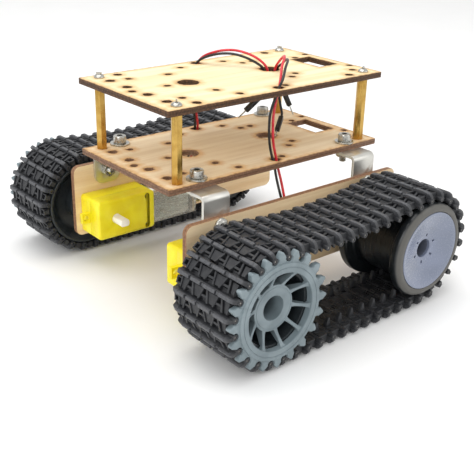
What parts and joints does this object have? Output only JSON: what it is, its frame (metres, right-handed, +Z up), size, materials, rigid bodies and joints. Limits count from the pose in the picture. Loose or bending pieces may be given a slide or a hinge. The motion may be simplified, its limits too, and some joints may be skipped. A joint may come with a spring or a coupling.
{
  "type": "tracked robot chassis",
  "caption": "Tracked robot chassis: two plywood decks on brass standoffs over a pair of gear-motor driven track modules with sprocket and idler wheels.",
  "frame": {"origin": "on the floor below the middle of the whole vehicle", "axes": "+X from the drive sprockets to the idlers, +Y to the right track, +Z up"},
  "size_m": [0.1662, 0.211, 0.122],
  "materials": {
    "ply": "satin",
    "brass": "satin",
    "steel": "satin",
    "bracket_metal": "satin",
    "yellow_plastic": "satin",
    "clear_plastic": "gloss",
    "white_plastic": "satin",
    "can_steel": "satin",
    "end_cap_plastic": "matte",
    "copper_winding": "satin",
    "grey_plastic": "satin",
    "black_plastic": "gloss",
    "cap_plastic": "gloss",
    "track_plastic": "satin",
    "red_insulation": "satin",
    "black_insulation": "satin"
  },
  "bodies": {
    "chassis": {"upper_deck": "ply", "lower_deck": "ply", "standoffs": "brass", "standoff_screws": "steel", "deck_bolts": "steel", "deck_washers": "steel", "deck_nuts": "steel", "front_left_bracket": "bracket_metal", "front_right_bracket": "bracket_metal", "rear_left_bracket": "bracket_metal", "rear_right_bracket": "bracket_metal", "bracket_screws": "steel", "bracket_nuts": "steel", "left_side_plate": "ply", "right_side_plate": "ply", "gearbox_screws": "steel", "left_gearbox_case": "yellow_plastic", "right_gearbox_case": "yellow_plastic", "left_gearbox_cover": "yellow_plastic", "right_gearbox_cover": "yellow_plastic", "left_motor_can": "can_steel", "right_motor_can": "can_steel", "left_motor_end_cap": "end_cap_plastic", "right_motor_end_cap": "end_cap_plastic", "left_motor_strap": "clear_plastic", "right_motor_strap": "clear_plastic", "gear_pins": "steel", "idler_bolts": "steel", "idler_spacers": "steel", "idler_nuts": "steel", "left_track_links": "track_plastic", "right_track_links": "track_plastic", "left_track_pins": "steel", "right_track_pins": "steel", "left_red_wire": "red_insulation", "left_black_wire": "black_insulation", "right_red_wire": "red_insulation", "right_black_wire": "black_insulation", "left_red_plug": "black_plastic", "left_black_plug": "black_plastic", "right_red_plug": "black_plastic", "right_black_plug": "black_plastic"},
    "left_drive": {"left_sprocket": "grey_plastic", "left_drive_barrel": "black_plastic", "left_output_shaft": "white_plastic"},
    "left_idler": {"left_idler_wheel": "black_plastic", "left_idler_cap": "cap_plastic"},
    "left_third_stage": {"left_third_gear": "white_plastic"},
    "left_second_stage": {"left_second_gear": "white_plastic"},
    "left_crown_stage": {"left_crown_gear": "white_plastic"},
    "left_motor_rotor": {"left_rotor": "copper_winding"},
    "right_drive": {"right_sprocket": "grey_plastic", "right_drive_barrel": "black_plastic", "right_output_shaft": "white_plastic"},
    "right_idler": {"right_idler_wheel": "black_plastic", "right_idler_cap": "cap_plastic"},
    "right_third_stage": {"right_third_gear": "white_plastic"},
    "right_second_stage": {"right_second_gear": "white_plastic"},
    "right_crown_stage": {"right_crown_gear": "white_plastic"},
    "right_motor_rotor": {"right_rotor": "copper_winding"}
  },
  "joints": [
    {"name": "left_sprocket_spin", "type": "hinge", "parent": "chassis", "child": "left_drive", "pos_m": [-0.05274, -0.0835, 0.0306], "axis": [0, 1, 0], "continuous": true, "deforming": ["left_track_links", "left_track_pins"]},
    {"name": "left_idler_spin", "type": "hinge", "parent": "chassis", "child": "left_idler", "pos_m": [0.05124, -0.0835, 0.0321], "axis": [0, 1, 0], "continuous": true},
    {"name": "left_third_gear_spin", "type": "hinge", "parent": "chassis", "child": "left_third_stage", "pos_m": [-0.04174, -0.0451, 0.0306], "axis": [0, 1, 0], "continuous": true},
    {"name": "left_second_gear_spin", "type": "hinge", "parent": "chassis", "child": "left_second_stage", "pos_m": [-0.05274, -0.0411, 0.0306], "axis": [0, 1, 0], "continuous": true},
    {"name": "left_crown_gear_spin", "type": "hinge", "parent": "chassis", "child": "left_crown_stage", "pos_m": [-0.04174, -0.0381, 0.0306], "axis": [0, 1, 0], "continuous": true},
    {"name": "left_rotor_spin", "type": "hinge", "parent": "chassis", "child": "left_motor_rotor", "pos_m": [-0.02674, -0.0411, 0.0306], "axis": [1, 0, 0], "continuous": true},
    {"name": "right_sprocket_spin", "type": "hinge", "parent": "chassis", "child": "right_drive", "pos_m": [-0.05274, 0.0835, 0.0306], "axis": [0, 1, 0], "continuous": true, "deforming": ["right_track_links", "right_track_pins"]},
    {"name": "right_idler_spin", "type": "hinge", "parent": "chassis", "child": "right_idler", "pos_m": [0.05124, 0.0835, 0.0321], "axis": [0, 1, 0], "continuous": true},
    {"name": "right_third_gear_spin", "type": "hinge", "parent": "chassis", "child": "right_third_stage", "pos_m": [-0.04174, 0.0451, 0.0306], "axis": [0, 1, 0], "continuous": true},
    {"name": "right_second_gear_spin", "type": "hinge", "parent": "chassis", "child": "right_second_stage", "pos_m": [-0.05274, 0.0411, 0.0306], "axis": [0, 1, 0], "continuous": true},
    {"name": "right_crown_gear_spin", "type": "hinge", "parent": "chassis", "child": "right_crown_stage", "pos_m": [-0.04174, 0.0381, 0.0306], "axis": [0, 1, 0], "continuous": true},
    {"name": "right_rotor_spin", "type": "hinge", "parent": "chassis", "child": "right_motor_rotor", "pos_m": [-0.02674, 0.0411, 0.0306], "axis": [1, 0, 0], "continuous": true}
  ],
  "couplings": [
    {"joint": "left_idler_spin", "follows": "left_sprocket_spin", "ratio": 0.9457},
    {"joint": "left_third_gear_spin", "follows": "left_sprocket_spin", "ratio": -3},
    {"joint": "left_second_gear_spin", "follows": "left_sprocket_spin", "ratio": 9},
    {"joint": "left_crown_gear_spin", "follows": "left_sprocket_spin", "ratio": -27},
    {"joint": "left_rotor_spin", "follows": "left_sprocket_spin", "ratio": 48},
    {"joint": "right_idler_spin", "follows": "right_sprocket_spin", "ratio": 0.9457},
    {"joint": "right_third_gear_spin", "follows": "right_sprocket_spin", "ratio": -3},
    {"joint": "right_second_gear_spin", "follows": "right_sprocket_spin", "ratio": 9},
    {"joint": "right_crown_gear_spin", "follows": "right_sprocket_spin", "ratio": -27},
    {"joint": "right_rotor_spin", "follows": "right_sprocket_spin", "ratio": -48}
  ]
}
